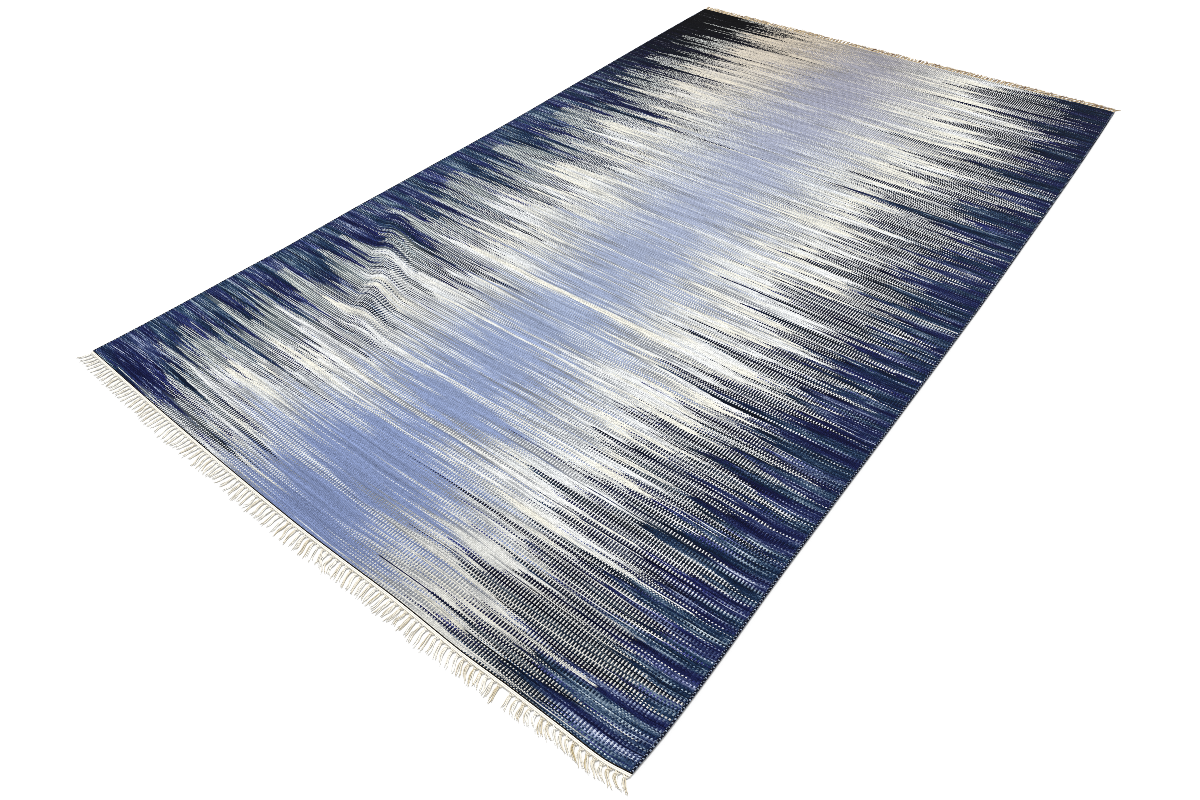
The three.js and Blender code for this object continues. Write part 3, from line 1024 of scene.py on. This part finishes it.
def woven_field():
    """The cloth as one closed slab, with a groove between two ribs on both faces."""
    across, along = field_grid()
    rows, columns = across.shape
    x, y = field_place(across, along)
    under = lift(across * FIELD_WIDTH, along * FIELD_LENGTH)
    profile = [depth for _, depth in RIB_PROFILE]
    groove = np.append(np.tile(profile, RIB_COUNT), 1.0) * RIB_DEPTH
    top = np.stack([x, y, under + CLOTH_THICKNESS - groove], axis=-1)
    bottom = np.stack([x, y, under + groove], axis=-1)
    corners = np.concatenate([top.reshape(-1, 3), bottom.reshape(-1, 3)])
    index = np.arange(rows * columns).reshape(rows, columns)
    below = index + rows * columns
    upper = quads(index[:-1, :-1], index[:-1, 1:], index[1:, 1:], index[1:, :-1])
    lower = quads(below[:-1, :-1], below[1:, :-1], below[1:, 1:], below[:-1, 1:])
    near = quads(below[0, :-1], below[0, 1:], index[0, 1:], index[0, :-1])
    far = quads(index[-1, :-1], index[-1, 1:], below[-1, 1:], below[-1, :-1])
    left = quads(index[:-1, 0], index[1:, 0], below[1:, 0], below[:-1, 0])
    right = quads(below[:-1, -1], below[1:, -1], index[1:, -1], index[:-1, -1])
    faces = np.concatenate([upper, lower, near, far, left, right])
    piece = mesh_object("woven_field", corners.tolist(), faces.tolist(), wool_material())
    map_field(piece.data, across, along, len(upper) + len(lower))
    sharpen_valleys(piece.data, columns, rows * columns)
    return piece


def map_field(mesh, across, along, flat_faces):
    """Maps both faces of the cloth alike, and its cut edges onto the margin."""
    places = np.stack([across.ravel(), along.ravel()], axis=-1)
    places = UV_MARGIN + places * (1 - 2 * UV_MARGIN)
    places = np.concatenate([places, places])
    loops = np.empty(len(mesh.loops), np.int32)
    mesh.loops.foreach_get("vertex_index", loops)
    mapped = places[loops]
    is_edge = np.arange(len(loops)) >= flat_faces * 4
    is_under = loops >= len(places) // 2
    outer = is_edge & is_under
    margin = UV_MARGIN * (1 + UV_SLACK)
    for axis in (0, 1):
        mapped[outer & (mapped[:, axis] < margin), axis] = 0
        mapped[outer & (mapped[:, axis] > 1 - margin), axis] = 1
    layer = mesh.uv_layers.new(name=UV_NAME)
    layer.data.foreach_set("uv", mapped.ravel())


def sharpen_valleys(mesh, columns, side_size):
    """Keeps the crease between two ribs crisp, so that each rib is shaded as round."""
    ends = np.empty(len(mesh.edges) * 2, np.int32)
    mesh.edges.foreach_get("vertices", ends)
    ends = ends.reshape(-1, 2)
    column = ends % side_size % columns
    valley = (column[:, 0] == column[:, 1]) & (column[:, 0] % len(RIB_PROFILE) == 0)
    across_sides = (ends[:, 0] < side_size) != (ends[:, 1] < side_size)
    rows = ends % side_size // columns
    last_row = side_size // columns - 1
    rim = (rows[:, 0] == rows[:, 1]) & ((rows[:, 0] == 0) | (rows[:, 0] == last_row))
    marks = mesh.attributes.new("sharp_edge", "BOOLEAN", "EDGE")
    marks.data.foreach_set("value", (valley | rim) & ~across_sides)


class Yarns:
    """Collects round and twisted yarns into one mesh."""

    def __init__(self):
        self.corners = []
        self.faces = []
        self.tones = []
        self.count = 0

    def add(self, path, radius, sides, tone, lobe=0.0, turns=0.0, upright=(0, 0, 1)):
        """A tube along a path. Its section has two plies where lobe isn't 0, and they
        twist by turns."""
        path = np.asarray(path, float)
        rings = len(path)
        ahead = np.gradient(path, axis=0)
        side = np.cross(ahead, upright)
        side /= np.linalg.norm(side, axis=1, keepdims=True)
        up = np.cross(side, ahead)
        up /= np.linalg.norm(up, axis=1, keepdims=True)
        angle = np.linspace(0, 2 * np.pi, sides, endpoint=False)[None, :]
        spin = np.linspace(0, 2 * np.pi * turns, rings)[:, None]
        plies = 1 + lobe * np.cos(2 * (angle - spin))
        reach = np.broadcast_to(radius, rings)[:, None] * plies
        points = (
            path[:, None, :]
            + side[:, None, :] * (reach * np.cos(angle))[..., None]
            + up[:, None, :] * (reach * np.sin(angle))[..., None]
        )
        self.corners.append(points.reshape(-1, 3))
        self.tones += [tone] * (rings * sides)
        self.add_faces(rings, sides)

    def add_faces(self, rings, sides):
        """The faces of one tube, with both ends closed."""
        start = self.count
        for ring in range(rings - 1):
            here = start + ring * sides
            ahead = here + sides
            for step in range(sides):
                other = (step + 1) % sides
                self.faces.append((here + step, ahead + step, ahead + other, here + other))
        self.faces.append(tuple(start + step for step in range(sides)))
        last = start + (rings - 1) * sides
        self.faces.append(tuple(last + step for step in reversed(range(sides))))
        self.count += rings * sides

    def piece(self, name, material):
        corners = np.concatenate(self.corners)
        piece = mesh_object(name, corners.tolist(), self.faces, material)
        layer = piece.data.attributes.new("tone", "FLOAT", "POINT")
        layer.data.foreach_set("value", np.asarray(self.tones, np.float32))
        return piece


def part_chance(seed):
    """The part's own repeatable chance, between -1 and 1."""
    state = seed
    while True:
        state = (state * CHANCE_STEP) % CHANCE_SIZE
        yield state / (CHANCE_SIZE / 2) - 1


def lock_plan(lay, seed, lost_across):
    """The tassels of one end, as the part has them: place across, reach and length, and
    the room between their cords."""
    numbers = part_chance(seed)
    plan = []
    for index in range(LOCKS_PER_END):
        across = (index + 0.5) / LOCKS_PER_END
        sway = next(numbers) * LOCK_SWAY_MM
        unevenness = next(numbers) * LOCK_UNEVENNESS_MM
        if abs(across - lost_across) >= 0.5 / LOCKS_PER_END:
            reach = float(eased(lay["across"], lay["reach"], across)) + sway
            length = float(eased(lay["across"], lay["length"], across)) + unevenness
            spread = float(eased(lay["across"], lay["spread"], across))
            plan.append((across, reach * MM, length * MM, spread * MM))
    return plan


def heading(yarns, along, outward):
    """Bare warps beside the cloth, bound by two twined cords."""
    across = np.linspace(0, 1, RIB_COUNT * TWINE_POINTS_PER_RIB + 1)
    x, y = field_place(across, np.full_like(across, along))
    for offset, tone in zip(TWINE_OFFSETS, TWINE_TONES):
        out = outward * (SEAT_GAP + offset)
        line = np.stack([x, y + out, np.full_like(x, TWINE_HEIGHT)], -1)
        yarns.add(line, TWINE_RADIUS, TWINE_SIDES, tone, lobe=TWINE_LOBE, turns=RIB_COUNT / 2)
    outs = (WARP_INSET, 0.5 * HEADING_WIDTH, HEADING_WIDTH)
    for rib in range(RIB_COUNT):
        root_x, root_y = field_place((rib + 0.5) / RIB_COUNT, along)
        line = [(root_x, root_y + outward * (SEAT_GAP + out), WARP_HEIGHT) for out in outs]
        yarns.add(line, WARP_RADIUS, WARP_SIDES, WARP_TONE)


def cord_offsets():
    """The places of a tassel's cords, side by side and about its middle."""
    return [cord - (CORDS_PER_LOCK - 1) / 2 for cord in range(CORDS_PER_LOCK)]


def drawn_warps(yarns, root, knot, outward, tone):
    """The warps of a tassel, drawn together from the heading to the knot."""
    rib = FIELD_WIDTH / RIB_COUNT
    for offset in cord_offsets():
        start = root + [offset * rib, -outward * DRAWN_START, 0]
        bend = start + [-offset * rib * DRAWN_CLOSING, outward * DRAWN_BEND, DRAWN_RISE]
        end = knot + [offset * KNOT_CORD_PITCH, 0, 0]
        yarns.add([start, bend, end], DRAWN_RADIUS, ROUND_SIDES, tone)


def knot_turns(yarns, random, knot, tone):
    """The two slanting turns of a tassel's knot."""
    turn = np.linspace(0, 2 * np.pi, KNOT_POINTS)
    for tilt in KNOT_TILTS:
        sideways = np.cos(turn) * KNOT_WIDTH
        outwards = sideways * tilt + random.normal(0, KNOT_JITTER_MM) * MM
        ring = np.stack([sideways, outwards, np.sin(turn) * KNOT_HEIGHT], -1)
        upright = (tilt * KNOT_TURN_OUT, 1, 0)
        yarns.add(knot + ring, KNOT_RADIUS, ROUND_SIDES, tone, upright=upright)


def loose_cord(yarns, random, knot, lock, offset, outward, curl, tone):
    """One cord from the knot out over the floor, with its frayed end."""
    _, reach, length, spread = lock
    part = np.linspace(0, 1, CORD_POINTS)
    own_length = length * random.uniform(*CORD_LENGTHS)
    flare = offset * spread + random.normal(0, FLARE_MM) * MM
    wave_size = random.uniform(*WAVE_MM) * MM
    wave = wave_size * np.sin(part * random.uniform(*WAVE_PACE) + random.uniform(*WAVE_STARTS))
    x = knot[0] + offset * LOOSE_CORD_PITCH * (1 - part) + flare * part**FLARE_EASE
    x = x + reach * part**2 * (1.5 - 0.5 * part) + wave * part
    size, start = curl
    x = x + size * (np.sin(part * CURL_PACE + start) - math.sin(start) * (1 - part))
    y = knot[1] + outward * (own_length - KNOT_OUT) * part
    floor = CORD_RADIUS * CORD_LIE
    raised = np.sin(np.pi * np.clip(part * HUMP_PACE, 0, 1)) ** 2
    hump = random.uniform(*HUMP_MM) * MM * raised
    z = floor + (knot[2] - floor) * (1 - part) ** 2 + hump
    taper = 1 - CORD_TAPER * part**CORD_TAPER_POWER
    radius = CORD_RADIUS * random.uniform(*CORD_THICKNESS) * taper
    path = np.stack([x, y, z], -1)
    tone = min(max(tone + random.normal(0, CORD_TONE_SCATTER), 0), 1)
    turns = own_length / CORD_TWIST
    yarns.add(path, radius, CORD_SIDES, tone, lobe=CORD_LOBE, turns=turns)
    wisps(yarns, random, path, tone * WISP_TONE)


def wisps(yarns, random, path, tone):
    """Frayed threads at the end of a cord."""
    end = path[-1]
    ahead = end - path[-2]
    ahead = ahead / np.linalg.norm(ahead)
    for _ in range(WISPS_PER_CORD):
        lean = ahead + random.normal(0, WISP_LEAN, 3) * [1, 1, WISP_FLATNESS]
        tip = end + lean * random.uniform(*WISP_MM) * MM
        tip[2] = max(tip[2], WISP_LOWEST)
        middle = (end + tip) / 2 + random.normal(0, WISP_BEND_MM, 3) * MM * [1, 1, 0]
        yarns.add([end - ahead * MM, middle, tip], WISP_RADII, WISP_SIDES, tone)


def tassel(yarns, random, root, lock, outward, tone):
    """Four warps drawn together in a knot, and their loose ends lying on the floor."""
    knot = root + [lock[1] * KNOT_LEAN, outward * KNOT_OUT, KNOT_RISE]
    drawn_warps(yarns, root, knot, outward, tone)
    knot_turns(yarns, random, knot, tone)
    curl = (random.normal(0, CURL_MM) * MM, random.uniform(*CURL_STARTS))
    for offset in cord_offsets():
        loose_cord(yarns, random, knot, lock, offset, outward, curl, tone)


def fringe(name, lay, seed, along, material, tones, lost_across=math.inf):
    """One end's heading and tassels. The near end is at 0 along the rug, the far one at 1."""
    outward = 2 * along - 1
    random = np.random.default_rng(seed)
    yarns = Yarns()
    heading(yarns, along, outward)
    for lock in lock_plan(lay, seed, lost_across):
        x, y = field_place(lock[0], along)
        out = outward * (SEAT_GAP + HEADING_WIDTH)
        root = np.array([float(x), float(y) + out, WARP_HEIGHT])
        tone = float(np.interp(lock[0], [0, 1], tones)) + random.normal(0, TASSEL_TONE_SCATTER)
        tassel(yarns, random, root, lock, outward, min(max(tone, 0), 1))
    return yarns.piece(name, material)


def declare(piece, node):
    """Which node a piece replaces and the body that it rides on."""
    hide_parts(node)
    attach(piece, "root")


def build_rug():
    field = woven_field()
    white = cotton_material("twisted_white_cotton", *WHITE_COTTON)
    golden = cotton_material("twisted_golden_cotton", *GOLDEN_COTTON)
    near = fringe("near_fringe", NEAR_LAY, NEAR_SEED, 0.0, white, NEAR_TONES, NEAR_LOST_LOCK)
    far = fringe("far_fringe", FAR_LAY, FAR_SEED, 1.0, golden, FAR_TONES)
    declare(field, "rug_field")
    declare(near, "fringe_near")
    declare(far, "fringe_far")


def add_floor():
    mesh = bpy.data.meshes.new("floor")
    reach = FLOOR_REACH
    corners = [(-reach, -reach, 0), (reach, -reach, 0), (reach, reach, 0), (-reach, reach, 0)]
    mesh.from_pydata(corners, [], [(0, 1, 2, 3)])
    floor = bpy.data.objects.new("floor", mesh)
    bpy.context.scene.collection.objects.link(floor)
    material, _, shader = new_material("pale_floor")
    shader.inputs["Base Color"].default_value = (FLOOR_GREY, FLOOR_GREY, FLOOR_GREY, 1)
    finish_shader(shader, roughness=0.9, specular=0)
    mesh.materials.append(material)


def add_light():
    scene = bpy.context.scene
    world = bpy.data.worlds.new("studio")
    world.use_nodes = True
    sky = world.node_tree.nodes["Background"]
    sky.inputs["Color"].default_value = (1, 1, 1, 1)
    sky.inputs["Strength"].default_value = SKY_STRENGTH
    scene.world = world
    data = bpy.data.lights.new("softbox", "SUN")
    data.angle = math.radians(SUN_SIZE_DEG)
    data.energy = SUN_ENERGY
    lamp = bpy.data.objects.new("softbox", data)
    turn = SUN_PLACE.to_track_quat("Z", "Y").to_matrix().to_4x4()
    lamp.matrix_world = Matrix.Translation(SUN_PLACE) @ turn
    scene.collection.objects.link(lamp)
    scene.view_settings.view_transform = "Standard"
    scene.cycles.use_denoising = False
    scene.cycles.filter_width = PIXEL_FILTER


build_rug()
add_floor()
add_light()
